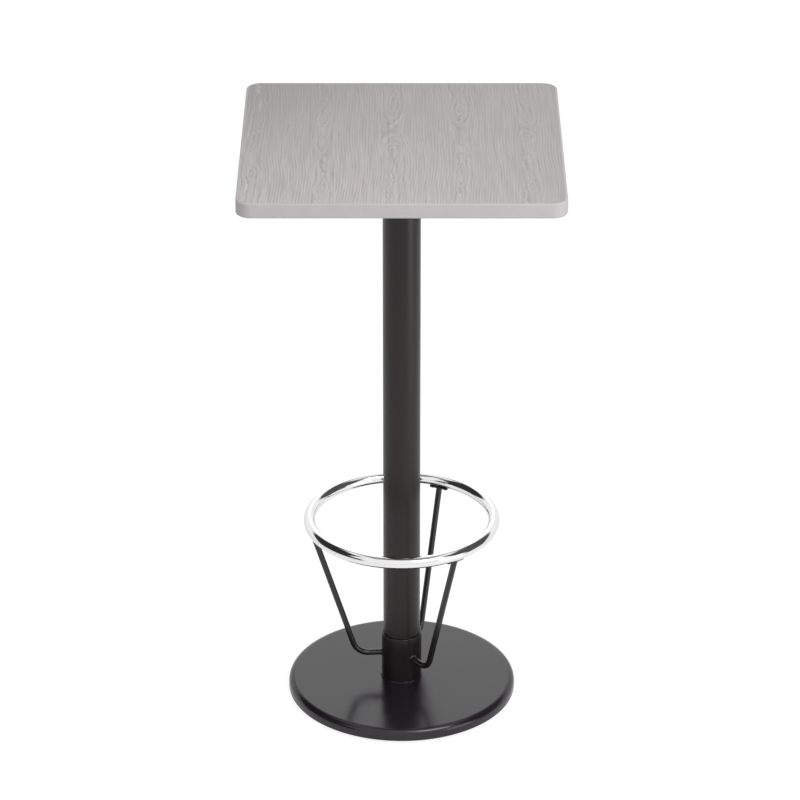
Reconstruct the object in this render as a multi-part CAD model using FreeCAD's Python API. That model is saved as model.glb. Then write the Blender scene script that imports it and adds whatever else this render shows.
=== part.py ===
import FreeCAD, Part
import math
import os

from FreeCAD import Vector

# A tall pub table: a square laminated top on one round column, a heavy cast disc underneath,
# and a chromed foot ring held by three bent rods. Millimetres, +Z up, origin on the floor
# below the middle of the column. -Y is the front.

# ---- Table top -------------------------------------------------------------------------------
table_height = 1135.0          # floor to the top's upper face
top_side = 580.0               # square, over the edge strip
top_thickness = 28.0           # board with both its skins
top_corner_radius = 28.0       # corners in plan, over the edge strip
skin_thickness = 0.8           # laminate above, balancing sheet below
edge_thickness = 4.0           # edge strip outside the board
edge_rounding = 3.0            # upper and lower arris of the edge strip
tongue_depth = 8.0             # barb of the edge strip inside the board's groove
tongue_thickness = 2.0
tongue_clearance = 0.1         # groove to barb, on each side

# ---- Top spider and its screws ---------------------------------------------------------------
spider_reach = 190.0           # column axis to the tip of an arm
arm_root_width = 46.0
arm_tip_width = 30.0
arm_thickness = 6.0
rib_screw_gap = 15.0           # end of the rib under an arm to the inner screw's head
rib_depth = 16.0               # below the arm, at the hub
rib_thickness = 7.0
hub_margin = 7.0               # hub outside the column, on radius
hub_height = 30.0
screw_tip_inset = 18.0         # outer screw to the tip of its arm
screw_spacing = 48.0           # outer screw to inner screw
screw_diameter = 4.8
screw_head_diameter = 9.5
screw_head_height = 3.0
screw_bite = 15.0              # length inside the top
screw_hole_clearance = 0.4     # arm hole to screw, on radius
pilot_clearance = 0.05         # board hole to screw, on radius

# ---- Column and tie rod ----------------------------------------------------------------------
column_diameter = 70.0
column_wall = 1.5
spigot_length = 14.0           # of the base and of the hub, inside the column
spigot_clearance = 0.25        # on radius
spigot_chamfer = 2.0
tie_rod_diameter = 12.0
tie_rod_clearance = 0.5        # holes of base and hub, on radius
thread_clearance = 0.05        # any thread to its nut or tapped hole, on radius
nut_across_flats = 19.0
nut_height = 10.0
rod_overhang = 2.5             # rod end beyond its nut
top_washer_diameter = 30.0
bottom_washer_diameter = 40.0
washer_thickness = 2.5
pocket_clearance = 1.5         # nut pocket to washer, on radius, and past the rod's upper end

# ---- Base casting ----------------------------------------------------------------------------
base_diameter = 435.0
base_height = 22.0             # foot of the rim to the upper face
base_floor_gap = 5.0           # foot of the rim above the floor
base_shoulder_radius = 12.0
base_rim_thickness = 9.0
base_plate_thickness = 8.0
base_foot_chamfer = 1.0
boss_margin = 2.5              # low step under column and collar, outside the collar
boss_height = 3.0
boss_rounding = 1.2
base_rib_count = 8
base_rib_thickness = 6.0
base_rib_ring_radius = 120.0   # middle of the ring of rib
base_rib_recess = 3.0          # ribs end this far above the foot of the rim
pocket_wall = 11.0             # iron around the lower nut pocket
pocket_roof = 4.0              # pocket's upper end below the upper end of the boss

# ---- Levelling glides ------------------------------------------------------------------------
glide_edge_inset = 38.0        # middle of a glide inside the base's outer edge
glide_first_angle = 225.0      # front left, then every quarter turn
glide_boss_diameter = 26.0
glide_access_clearance = 7.5   # room round a glide boss for a wrench
glide_hole_roof = 3.0          # iron left above a tapped hole
glide_thread_diameter = 8.0
glide_lift_travel = 1.6        # a pad can rise this far from rest
glide_end_gap = 0.4            # stem to the roof of its hole when the pad is right up
glide_pad_diameter = 30.0
glide_pad_floor = 1.2          # nylon under the stem's head
glide_pad_roof = 1.25          # nylon above it
glide_pad_rounding = 1.0
glide_head_diameter = 12.0
glide_head_height = 2.5
glide_running_clearance = 0.05 # stem in its pad, on radius and above its head
glide_hex_across_flats = 13.0
glide_hex_height = 3.0
glide_hex_gap = 0.2            # wrench hexagon to the pad, and to its boss right up

# ---- Foot ring -------------------------------------------------------------------------------
ring_radius = 174.5            # column axis to the middle of the tube
ring_tube_diameter = 22.0
ring_tube_wall = 1.5
ring_height = 363.5            # floor to the middle of the tube
collar_wall = 3.0
collar_height = 91.0
collar_clearance = 0.15        # column to collar, on radius
collar_chamfer = 1.0
stay_first_angle = 185.0       # left stay, then every third of a turn
stay_diameter = 11.4
stay_bend_radius = 32.0        # on the rod's centre line
stay_leg_height = 46.5         # rod's level leg above the foot of the collar
stay_leg_length = 48.0         # collar's face to where level leg and slope would meet
stay_top_inset = 2.5           # rod's upper end and its pad inside the ring's circle
pad_length = 38.0              # round the column
pad_width = 12.0
pad_thickness = 3.0
pad_cradle = 1.0               # how far the ring sits into its pads
ring_screw_margin = 5.5        # screw to the end of its pad
ring_screw_diameter = 4.0
ring_screw_head_diameter = 8.0
ring_screw_head_height = 2.4
ring_screw_reach = 3.0         # screw's end inside the tube
ring_screw_clearance = 0.05    # pad and tube hole to screw, on radius
set_screw_diameter = 6.0
set_screw_length = 4.0
set_screw_height = 8.0         # above the foot of the collar
set_screw_turn = -12.0         # degrees round from each stay, clear of its weld
set_screw_socket = 3.0         # across flats
set_screw_socket_depth = 1.8

# ---- Levels and radii that follow ------------------------------------------------------------
top_underside = table_height - top_thickness
board_side = top_side - 2 * edge_thickness
board_corner_radius = top_corner_radius - edge_thickness

column_radius = column_diameter / 2
column_bore = column_radius - column_wall
spigot_radius = column_bore - spigot_clearance
tie_rod_hole = tie_rod_diameter / 2 + tie_rod_clearance
collar_bore = column_radius + collar_clearance
collar_radius = collar_bore + collar_wall
hub_radius = column_radius + hub_margin
boss_radius = collar_radius + boss_margin

hub_low = top_underside - hub_height
hub_pocket_floor = (top_underside - washer_thickness - nut_height - rod_overhang
                    - pocket_clearance)
outer_screw_radius = spider_reach - screw_tip_inset
inner_screw_radius = outer_screw_radius - screw_spacing
rib_reach = inner_screw_radius - screw_head_diameter / 2 - rib_screw_gap

base_low = base_floor_gap
base_high = base_low + base_height
boss_high = base_high + boss_height
plate_low = base_high - base_plate_thickness
rib_low = base_low + base_rib_recess
base_pocket_ceiling = boss_high - pocket_roof
base_pocket_radius = bottom_washer_diameter / 2 + pocket_clearance

glide_circle_radius = base_diameter / 2 - glide_edge_inset
glide_thread_radius = glide_thread_diameter / 2
glide_head_high = glide_pad_floor + glide_head_height
glide_pad_height = glide_head_high + glide_running_clearance + glide_pad_roof
glide_hex_low = glide_pad_height + glide_hex_gap
glide_hex_high = glide_hex_low + glide_hex_height
glide_boss_low = glide_hex_high + glide_lift_travel + glide_hex_gap
glide_hole_high = base_high - glide_hole_roof
glide_stem_high = glide_hole_high - glide_lift_travel - glide_end_gap

tube_radius = ring_tube_diameter / 2
collar_low = boss_high
stay_leg_z = collar_low + stay_leg_height
pad_high = ring_height - tube_radius + pad_cradle
pad_low = pad_high - pad_thickness
stay_top_radius = ring_radius - stay_top_inset
stay_knee_radius = collar_radius + stay_leg_length
ring_screw_offset = pad_length / 2 - ring_screw_margin


# ---- Shapes used by many pieces --------------------------------------------------------------
def cylinder(radius, low, high, x=0.0, y=0.0):
    return Part.makeCylinder(radius, high - low, Vector(x, y, low))


def tube(outer, inner, low, high):
    return cylinder(outer, low, high).cut(cylinder(inner, low, high))


def hexagon(across_flats, low, high, x=0.0, y=0.0):
    corner = across_flats / math.sqrt(3)
    points = [Vector(x + corner * math.cos(math.radians(60 * i)),
                     y + corner * math.sin(math.radians(60 * i)), low) for i in range(7)]
    return Part.Face(Part.makePolygon(points)).extrude(Vector(0, 0, high - low))


def edges_at(shape, level, radius=None):
    """Edges that lie wholly at one height and, if asked, at one distance from the axis."""
    found = []
    for edge in shape.Edges:
        box = edge.BoundBox
        if abs(box.ZMin - level) > 1e-4 or abs(box.ZMax - level) > 1e-4:
            continue
        point = edge.Vertexes[0].Point
        if radius is None or abs(math.hypot(point.x, point.y) - radius) < 1e-4:
            found.append(edge)
    return found


def rounded_square(side, corner, low, high):
    block = Part.makeBox(side, side, high - low, Vector(-side / 2, -side / 2, low))
    if corner <= 0:
        return block
    upright = [edge for edge in block.Edges if edge.BoundBox.ZLength > (high - low) / 2]
    return block.makeFillet(corner, upright)


def turned(shape, angle):
    return shape.rotated(Vector(0, 0, 0), Vector(0, 0, 1), angle)


def around(first_angle, count):
    return [first_angle + 360.0 * i / count for i in range(count)]


def polar(radius, angle):
    return radius * math.cos(math.radians(angle)), radius * math.sin(math.radians(angle))


# ---- Table top -------------------------------------------------------------------------------
def spider_screw_places():
    return [polar(radius, angle) for angle in around(45.0, 4)
            for radius in (inner_screw_radius, outer_screw_radius)]


def top_core():
    low = top_underside + skin_thickness
    high = table_height - skin_thickness
    board = rounded_square(board_side, board_corner_radius, low, high)
    middle = (low + high) / 2
    half = tongue_thickness / 2 + tongue_clearance
    depth = tongue_depth + tongue_clearance
    groove = rounded_square(board_side, board_corner_radius, middle - half, middle + half)
    groove = groove.cut(rounded_square(board_side - 2 * depth, board_corner_radius - depth,
                                       middle - half, middle + half))
    board = board.cut(groove)
    for x, y in spider_screw_places():
        board = board.cut(cylinder(screw_diameter / 2 + pilot_clearance, low,
                                   top_underside + screw_bite + pilot_clearance, x, y))
    return board


def top_laminate():
    return rounded_square(board_side, board_corner_radius,
                          table_height - skin_thickness, table_height)


def top_backer():
    sheet = rounded_square(board_side, board_corner_radius,
                           top_underside, top_underside + skin_thickness)
    for x, y in spider_screw_places():
        sheet = sheet.cut(cylinder(screw_diameter / 2 + pilot_clearance, top_underside,
                                   top_underside + skin_thickness, x, y))
    return sheet


def edge_strip():
    strip = rounded_square(top_side, top_corner_radius, top_underside, table_height)
    strip = strip.makeFillet(edge_rounding,
                             edges_at(strip, top_underside) + edges_at(strip, table_height))
    strip = strip.cut(rounded_square(board_side, board_corner_radius,
                                     top_underside, table_height))
    middle = (top_underside + table_height) / 2
    low, high = middle - tongue_thickness / 2, middle + tongue_thickness / 2
    tongue = rounded_square(board_side + edge_thickness, board_corner_radius + edge_thickness / 2,
                            low, high)
    tongue = tongue.cut(rounded_square(board_side - 2 * tongue_depth,
                                       board_corner_radius - tongue_depth, low, high))
    return strip.fuse(tongue).removeSplitter()


# ---- Top spider ------------------------------------------------------------------------------
def spider_arm():
    """One arm with its rib, pointing along +X."""
    low, high = top_underside - arm_thickness, top_underside
    tip = spider_reach - arm_tip_width / 2
    outline = [Vector(0, -arm_root_width / 2, low), Vector(tip, -arm_tip_width / 2, low),
               Vector(tip, arm_tip_width / 2, low), Vector(0, arm_root_width / 2, low)]
    arm = Part.Face(Part.makePolygon(outline + outline[:1])).extrude(Vector(0, 0, high - low))
    arm = arm.fuse(cylinder(arm_tip_width / 2, low, high, tip))
    rib_y = -rib_thickness / 2
    side = [Vector(0, rib_y, high), Vector(rib_reach, rib_y, high), Vector(rib_reach, rib_y, low),
            Vector(hub_radius, rib_y, low - rib_depth), Vector(0, rib_y, low - rib_depth)]
    rib = Part.Face(Part.makePolygon(side + side[:1])).extrude(Vector(0, rib_thickness, 0))
    return arm.fuse(rib)


def top_spider():
    hub = cylinder(hub_radius, hub_low, top_underside)
    spigot = cylinder(spigot_radius, hub_low - spigot_length, hub_low)
    spigot = spigot.makeChamfer(spigot_chamfer, edges_at(spigot, hub_low - spigot_length))
    spider = hub.fuse(spigot)
    for angle in around(45.0, 4):
        spider = spider.fuse(turned(spider_arm(), angle))
    spider = spider.cut(cylinder(tie_rod_hole, hub_low - spigot_length, top_underside))
    spider = spider.cut(cylinder(top_washer_diameter / 2 + pocket_clearance,
                                 hub_pocket_floor, top_underside))
    for x, y in spider_screw_places():
        spider = spider.cut(cylinder(screw_diameter / 2 + screw_hole_clearance,
                                     top_underside - arm_thickness, top_underside, x, y))
    return spider.removeSplitter()


def spider_screws():
    head_high = top_underside - arm_thickness
    head_low = head_high - screw_head_height
    screws = []
    for x, y in spider_screw_places():
        head = cylinder(screw_head_diameter / 2, head_low, head_high, x, y)
        head = head.makeFillet(screw_head_height / 2, edges_at(head, head_low))
        shank = cylinder(screw_diameter / 2, head_high, top_underside + screw_bite, x, y)
        screws.append(head.fuse(shank).removeSplitter())
    return Part.makeCompound(screws)


# ---- Column and tie rod ----------------------------------------------------------------------
def column_tube():
    return tube(column_radius, column_bore, boss_high, hub_low)


def tie_rod():
    low = base_pocket_ceiling - washer_thickness - nut_height - rod_overhang
    high = hub_pocket_floor + washer_thickness + nut_height + rod_overhang
    return cylinder(tie_rod_diameter / 2, low, high)


def washer(diameter, low):
    return tube(diameter / 2, tie_rod_hole, low, low + washer_thickness)


def nut(low):
    hole = cylinder(tie_rod_diameter / 2 + thread_clearance, low, low + nut_height)
    return hexagon(nut_across_flats, low, low + nut_height).cut(hole)


# ---- Base casting ----------------------------------------------------------------------------
def glide_places():
    return [polar(glide_circle_radius, angle) for angle in around(glide_first_angle, 4)]


def base_shell():
    radius = base_diameter / 2
    disc = cylinder(radius, base_low, base_high)
    disc = disc.makeFillet(base_shoulder_radius, edges_at(disc, base_high))
    disc = disc.makeChamfer(base_foot_chamfer, edges_at(disc, base_low, radius))
    hollow = cylinder(radius - base_rim_thickness, base_low, plate_low)
    boss = cylinder(boss_radius, plate_low, boss_high)
    boss = boss.makeFillet(boss_rounding, edges_at(boss, boss_high))
    spigot = cylinder(spigot_radius, base_high, boss_high + spigot_length)
    spigot = spigot.makeChamfer(spigot_chamfer, edges_at(spigot, boss_high + spigot_length))
    return disc.cut(hollow).fuse(boss).fuse(spigot)


def base_ribs():
    """Ring of rib, spokes and nut pocket wall under the plate, as one shape."""
    half = base_rib_thickness / 2
    wall = base_pocket_radius + pocket_wall
    ribs = cylinder(wall, rib_low, plate_low)
    ribs = ribs.fuse(tube(base_rib_ring_radius + half, base_rib_ring_radius - half,
                          rib_low, plate_low))
    spoke_end = base_diameter / 2 - base_rim_thickness / 2
    for angle in around(0.0, base_rib_count):
        spoke = Part.makeBox(spoke_end, base_rib_thickness, plate_low - rib_low,
                             Vector(0, -half, rib_low))
        ribs = ribs.fuse(turned(spoke, angle))
    return ribs


def base_casting():
    casting = base_shell().fuse(base_ribs())
    for x, y in glide_places():
        casting = casting.fuse(cylinder(glide_boss_diameter / 2, glide_boss_low, plate_low, x, y))
        casting = casting.cut(cylinder(glide_boss_diameter / 2 + glide_access_clearance,
                                       base_low, glide_boss_low, x, y))
        casting = casting.cut(cylinder(glide_thread_radius + thread_clearance,
                                       glide_boss_low, glide_hole_high, x, y))
    casting = casting.cut(cylinder(base_pocket_radius, base_low, base_pocket_ceiling))
    casting = casting.cut(cylinder(tie_rod_hole, base_low, boss_high + spigot_length))
    return casting.removeSplitter()


# ---- Levelling glides ------------------------------------------------------------------------
def glide_pad(x, y):
    pad = cylinder(glide_pad_diameter / 2, 0.0, glide_pad_height, x, y)
    pad = pad.makeFillet(glide_pad_rounding, edges_at(pad, glide_pad_height))
    play = glide_running_clearance
    socket = cylinder(glide_head_diameter / 2 + play, glide_pad_floor,
                      glide_head_high + play, x, y)
    neck = cylinder(glide_thread_radius + play, glide_pad_floor, glide_pad_height, x, y)
    return pad.cut(socket.fuse(neck))


def glide_stem(x, y):
    stem = cylinder(glide_head_diameter / 2, glide_pad_floor, glide_head_high, x, y)
    stem = stem.fuse(cylinder(glide_thread_radius, glide_head_high, glide_stem_high, x, y))
    stem = stem.fuse(hexagon(glide_hex_across_flats, glide_hex_low, glide_hex_high, x, y))
    return stem.removeSplitter()


# ---- Foot ring -------------------------------------------------------------------------------
def ring_torus(radius):
    return Part.makeTorus(ring_radius, radius, Vector(0, 0, ring_height))


def ring_screw_places(stay_angle):
    turn = math.degrees(ring_screw_offset / stay_top_radius)
    return [polar(stay_top_radius, stay_angle + side * turn) for side in (-1, 1)]


def stay_angles():
    return around(stay_first_angle, 3)


def foot_ring():
    ring = ring_torus(tube_radius).cut(ring_torus(tube_radius - ring_tube_wall))
    radius = ring_screw_diameter / 2 + ring_screw_clearance
    for angle in stay_angles():
        for x, y in ring_screw_places(angle):
            ring = ring.cut(cylinder(radius, pad_low, ring_height, x, y))
    return ring


def stay_pad(angle):
    """Flat bar rolled to a curve beside the ring's, cradled to the tube."""
    half_turn = math.degrees(pad_length / 2 / stay_top_radius)
    pad = Part.makeCylinder(stay_top_radius + pad_width / 2, pad_thickness,
                            Vector(0, 0, pad_low), Vector(0, 0, 1), 2 * half_turn)
    pad = pad.cut(cylinder(stay_top_radius - pad_width / 2, pad_low, pad_high))
    pad = turned(pad, angle - half_turn).cut(ring_torus(tube_radius))
    radius = ring_screw_diameter / 2 + ring_screw_clearance
    for x, y in ring_screw_places(angle):
        pad = pad.cut(cylinder(radius, pad_low, pad_high, x, y))
    return pad


def stay_path():
    """Centre line of a stay in the XZ plane: level leg, bend, slope."""
    run = stay_top_radius - stay_knee_radius
    rise = pad_low - stay_leg_z
    slope = Vector(run, 0, rise).normalize()
    turn = math.atan2(rise, run)
    tangent = stay_bend_radius * math.tan(turn / 2)
    knee = Vector(stay_knee_radius, 0, stay_leg_z)
    start = Vector(column_radius, 0, stay_leg_z)
    bend_in = knee - Vector(tangent, 0, 0)
    bend_out = knee + slope * tangent
    centre = bend_in + Vector(0, 0, stay_bend_radius)
    halfway = centre + Vector(math.sin(turn / 2), 0, -math.cos(turn / 2)) * stay_bend_radius
    end = Vector(stay_top_radius, 0, pad_low) + slope * stay_diameter
    return Part.Wire([Part.LineSegment(start, bend_in).toShape(),
                      Part.Arc(bend_in, halfway, bend_out).toShape(),
                      Part.LineSegment(bend_out, end).toShape()])


def stay(angle):
    path = stay_path()
    start = path.OrderedVertexes[0].Point
    section = Part.Wire(Part.makeCircle(stay_diameter / 2, start, Vector(1, 0, 0)))
    rod = path.makePipeShell([section], True, True)
    rod = rod.cut(cylinder(collar_radius, collar_low, collar_low + collar_height))
    trim = Part.makeBox(4 * stay_diameter, 4 * stay_diameter, 4 * stay_diameter,
                        Vector(stay_top_radius - 2 * stay_diameter, -2 * stay_diameter, pad_low))
    return turned(rod.cut(trim), angle)


def foot_ring_collar():
    low, high = collar_low, collar_low + collar_height
    collar = cylinder(collar_radius, low, high)
    collar = collar.makeChamfer(collar_chamfer, edges_at(collar, low) + edges_at(collar, high))
    collar = collar.cut(cylinder(collar_bore, low, high))
    for angle in stay_angles():
        hole = Part.makeCylinder(set_screw_diameter / 2 + thread_clearance, 2 * collar_radius,
                                 Vector(0, 0, low + set_screw_height), Vector(1, 0, 0))
        collar = collar.cut(turned(hole, angle + set_screw_turn))
    return collar


def collar_set_screws():
    screws = []
    for angle in stay_angles():
        screw = cylinder(set_screw_diameter / 2, 0, set_screw_length)
        screw = screw.cut(hexagon(set_screw_socket, set_screw_length - set_screw_socket_depth,
                                  set_screw_length))
        screw.rotate(Vector(0, 0, 0), Vector(0, 1, 0), 90)
        screw.translate(Vector(column_radius, 0, collar_low + set_screw_height))
        screws.append(turned(screw, angle + set_screw_turn))
    return Part.makeCompound(screws)


def ring_screws():
    screws = []
    for angle in stay_angles():
        for x, y in ring_screw_places(angle):
            head = cylinder(ring_screw_head_diameter / 2, pad_low - ring_screw_head_height,
                            pad_low, x, y)
            head = head.makeFillet(ring_screw_head_height / 2,
                                   edges_at(head, pad_low - ring_screw_head_height))
            end = ring_height - tube_radius + ring_tube_wall + ring_screw_reach
            shank = cylinder(ring_screw_diameter / 2, pad_low, end, x, y)
            screws.append(head.fuse(shank).removeSplitter())
    return Part.makeCompound(screws)


# ---- Every piece, each in its own file -------------------------------------------------------
def pieces():
    parts = {
        "top_core": top_core(),
        "top_laminate": top_laminate(),
        "top_backer": top_backer(),
        "edge_strip": edge_strip(),
        "top_spider": top_spider(),
        "spider_screws": spider_screws(),
        "column_tube": column_tube(),
        "tie_rod": tie_rod(),
        "top_washer": washer(top_washer_diameter, hub_pocket_floor),
        "top_nut": nut(hub_pocket_floor + washer_thickness),
        "bottom_washer": washer(bottom_washer_diameter, base_pocket_ceiling - washer_thickness),
        "bottom_nut": nut(base_pocket_ceiling - washer_thickness - nut_height),
        "base_casting": base_casting(),
        "foot_ring": foot_ring(),
        "foot_ring_collar": foot_ring_collar(),
        "collar_set_screws": collar_set_screws(),
        "ring_screws": ring_screws(),
    }
    for side, angle in zip(("left", "front", "back"), stay_angles()):
        parts["stay_" + side] = stay(angle)
        parts["stay_pad_" + side] = stay_pad(angle)
    corners = ("front_left", "front_right", "back_right", "back_left")
    for corner, (x, y) in zip(corners, glide_places()):
        parts["glide_pad_" + corner] = glide_pad(x, y)
        parts["glide_stem_" + corner] = glide_stem(x, y)
    return parts


os.makedirs("parts", exist_ok=True)
for name, shape in pieces().items():
    shape.exportStep("parts/" + name + ".step")
    print(name, len(shape.Solids), "solid(s)", round(shape.Volume), "mm3", shape.isValid())
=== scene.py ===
from math import atan2, cos, radians, sin, sqrt, tan, tau

import bmesh
import bpy
from mathutils import Matrix, Vector


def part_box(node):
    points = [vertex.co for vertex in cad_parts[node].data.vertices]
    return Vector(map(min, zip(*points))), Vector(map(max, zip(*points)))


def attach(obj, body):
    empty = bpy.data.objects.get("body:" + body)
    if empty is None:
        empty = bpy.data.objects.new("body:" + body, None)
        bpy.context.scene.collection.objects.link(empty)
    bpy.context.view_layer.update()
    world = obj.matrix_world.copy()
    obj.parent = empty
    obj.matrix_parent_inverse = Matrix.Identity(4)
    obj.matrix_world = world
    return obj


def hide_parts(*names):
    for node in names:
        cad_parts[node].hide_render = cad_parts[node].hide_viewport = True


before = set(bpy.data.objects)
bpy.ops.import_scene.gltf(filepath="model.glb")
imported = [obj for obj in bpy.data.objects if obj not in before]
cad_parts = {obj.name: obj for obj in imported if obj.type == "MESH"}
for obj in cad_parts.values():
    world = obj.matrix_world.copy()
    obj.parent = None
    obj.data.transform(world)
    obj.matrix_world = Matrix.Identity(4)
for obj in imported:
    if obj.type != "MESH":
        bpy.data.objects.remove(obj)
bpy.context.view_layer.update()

# ==== Base casting ============================================================================
# A round grey-iron casting that carries everything: a flat disc with a turned shoulder, hollow
# and ribbed underneath. It is shot-blasted, then powder coated satin black all over.
mm = 0.001


def linear(code):
    """An sRGB hex colour as the linear RGBA that shaders take."""
    channels = [int(code[place:place + 2], 16) / 255 for place in (1, 3, 5)]
    return [c / 12.92 if c <= 0.04045 else ((c + 0.055) / 1.055) ** 2.4 for c in channels] + [1.0]


def add(tree, kind, inputs={}, **settings):
    """Adds one shader node. An input is a value, a hex colour, or a node or output to link. By
    number, a Map Range goes from 1-2 to 3-4, and a Mix takes its colours at 6 and 7."""
    node = tree.nodes.new("ShaderNode" + kind)
    for name, value in settings.items():
        setattr(node, name, value)
    for name, value in inputs.items():
        if isinstance(value, bpy.types.Node):
            value = next(output for output in value.outputs if output.enabled)
        if isinstance(value, bpy.types.NodeSocket):
            tree.links.new(value, node.inputs[name])
        else:
            node.inputs[name].default_value = linear(value) if isinstance(value, str) else value
    return node


def rounded(bm, corners, radius, steps, affect="EDGES"):
    """Rounds edges, or the corners of an outline."""
    bmesh.ops.bevel(bm, geom=corners, offset=radius, offset_type="OFFSET", affect=affect,
                    segments=steps, profile=0.5, material=-1)


def outline(section, rounds, place=lambda radius, height: (radius, 0, height)):
    """A section's edges, open where it meets the axis. Its corners are (radius, height,
    rounding)."""
    bm = bmesh.new()
    corners = [bm.verts.new(place(radius, height)) for radius, height, rounding in section]
    closed = min(section[0][0], section[-1][0]) > 0
    for start, end in zip(corners, corners[1:] + corners[:closed]):
        bm.edges.new((start, end))
    for corner, (radius, height, rounding) in zip(corners, section):
        if rounding:
            rounded(bm, [corner], rounding, rounds, "VERTICES")
    return bm


def lathe(section, steps=160, rounds=6):
    """Spins a section about the Z axis."""
    bm = outline(section, rounds)
    bmesh.ops.spin(bm, geom=bm.verts[:] + bm.edges[:], cent=(0, 0, 0), axis=(0, 0, 1), angle=tau,
                   steps=steps, use_merge=True)
    return settled(bm)


def settled(bm):
    """Merges what coincides and turns every face outwards."""
    bmesh.ops.remove_doubles(bm, verts=bm.verts, dist=0.002 * mm)
    bmesh.ops.recalc_face_normals(bm, faces=bm.faces)
    return bm


def moved(bm, turn=0.0, place=(0, 0, 0), axis="Z"):
    """The same mesh turned about an axis, then shifted."""
    bmesh.ops.rotate(bm, cent=(0, 0, 0), matrix=Matrix.Rotation(turn, 3, axis), verts=bm.verts)
    bmesh.ops.translate(bm, vec=place, verts=bm.verts)
    return bm


def block(size, middle, rounding=0.0):
    """A bar of the given size with its edges rounded."""
    bm = bmesh.new()
    bmesh.ops.create_cube(bm, size=1.0)
    bmesh.ops.scale(bm, vec=size, verts=bm.verts)
    moved(bm, 0, middle)
    if rounding:
        rounded(bm, bm.edges[:], rounding, 3)
    return bm


def mesh_of(bm, name="bench"):
    """Mesh data made from a bmesh, which is then let go."""
    mesh = bpy.data.meshes.new(name)
    bm.to_mesh(mesh)
    bm.free()
    return mesh


def placed(name, data):
    """A new object in the scene."""
    made = bpy.data.objects.new(name, data)
    bpy.context.collection.objects.link(made)
    return made


def together(parts):
    """Several closed meshes in one."""
    whole = bmesh.new()
    for part in parts:
        mesh = mesh_of(part)
        whole.from_mesh(mesh)
        bpy.data.meshes.remove(mesh)
    return whole


def machined(bm, tool, operation):
    """Two closed meshes made one, by UNION, DIFFERENCE or INTERSECT."""
    shapes = [placed("bench", mesh_of(part)) for part in (bm, tool)]
    cut = shapes[0].modifiers.new("cut", "BOOLEAN")
    cut.object = shapes[1]
    cut.operation = operation
    cut.solver = "EXACT"
    bpy.context.view_layer.update()
    result = bmesh.new()
    result.from_object(shapes[0], bpy.context.evaluated_depsgraph_get())
    for shape in shapes:
        bpy.data.meshes.remove(shape.data)
    return settled(result)


def piece(node, bm, finish, body="frame", sharp=32):
    """The finished piece that stands for a CAD node. Edges sharper than the angle stay crisp."""
    mesh = mesh_of(bm, node + "_finished")
    mesh.shade_smooth()
    mesh.set_sharp_from_angle(angle=radians(sharp))
    mesh.materials.append(finish)
    made = placed(node + "_finished", mesh)
    made.modifiers.new("even_shading", "WEIGHTED_NORMAL").keep_sharp = True
    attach(made, body)
    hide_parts(node)


def blank(name):
    """A material with an empty node tree."""
    made = bpy.data.materials.new(name)
    made.use_nodes = True
    made.node_tree.nodes.clear()
    return made, made.node_tree


def polar(radius, angle):
    """A point at a distance and an angle, in radians, from the column's axis."""
    return radius * cos(angle), radius * sin(angle), 0


base_low, base_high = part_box("base_casting")
column_low, column_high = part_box("column_tube")
base_radius = base_high.x
base_foot = base_low.z
boss_top = column_low.z
base_top = boss_top - 3 * mm           # the low step under column and collar
plate_under = base_top - 8 * mm
rib_foot = base_foot + 3 * mm
rim_inside = base_radius - 9 * mm
rib_half = 3 * mm
rib_ring = 120 * mm
pocket = 21.5 * mm                     # for the tie rod's lower nut and washer
pocket_wall = pocket + 11 * mm
pocket_roof = boss_top - 4 * mm
rod_hole = 6.5 * mm
spigot = 33.25 * mm
boss_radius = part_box("foot_ring_collar")[1].x + 2.5 * mm
shoulder = 12 * mm
cast_round = 1.5 * mm                  # on every rib
eased = 0.6 * mm
glide_circle = base_radius - 38 * mm
glide_boss_foot = 10 * mm
glide_boss = 13 * mm
wrench_room = 20.5 * mm
tapped_hole = 4.05 * mm
hole_roof = base_top - 3 * mm
glide_angles = [radians(angle) for angle in (225, 315, 45, 135)]


def coated_iron():
    """Powder coat on cast iron: nearly black, a smooth satin gloss with a shallow orange peel
    and the slow waviness of the blasted casting under it."""
    made, tree = blank("satin_black_powder_coat_on_cast_iron")
    spot = add(tree, "TexCoord").outputs["Object"]
    cloud = add(tree, "TexNoise", {"Vector": spot, "Scale": 1 / (60 * mm), "Detail": 3.0})
    peel = add(tree, "TexNoise", {"Vector": spot, "Scale": 1 / (2.6 * mm), "Detail": 1.0})
    dust = add(tree, "TexNoise", {"Vector": spot, "Scale": 1 / (0.9 * mm), "Detail": 2.0})
    speck = add(tree, "MapRange", {"Value": dust, 1: 0.66, 2: 0.78, 4: 0.16})
    tone = add(tree, "Mix", {0: cloud, 6: "#191319", 7: "#211b22"}, data_type="RGBA")
    paint = add(tree, "Mix", {0: speck, 6: tone, 7: "#4a484a"}, data_type="RGBA")
    rough = add(tree, "MapRange", {"Value": cloud, 1: 0.3, 2: 0.7, 3: 0.17, 4: 0.25})
    wave = add(tree, "Bump", {"Height": cloud, "Distance": 0.02 * mm})
    skin = add(tree, "Bump", {"Height": peel, "Distance": 0.008 * mm, "Normal": wave})
    shader = add(tree, "BsdfPrincipled", {"Base Color": paint, "Roughness": rough, "IOR": 1.5,
                                          "Normal": skin})
    add(tree, "OutputMaterial", {"Surface": shader})
    return made


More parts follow.
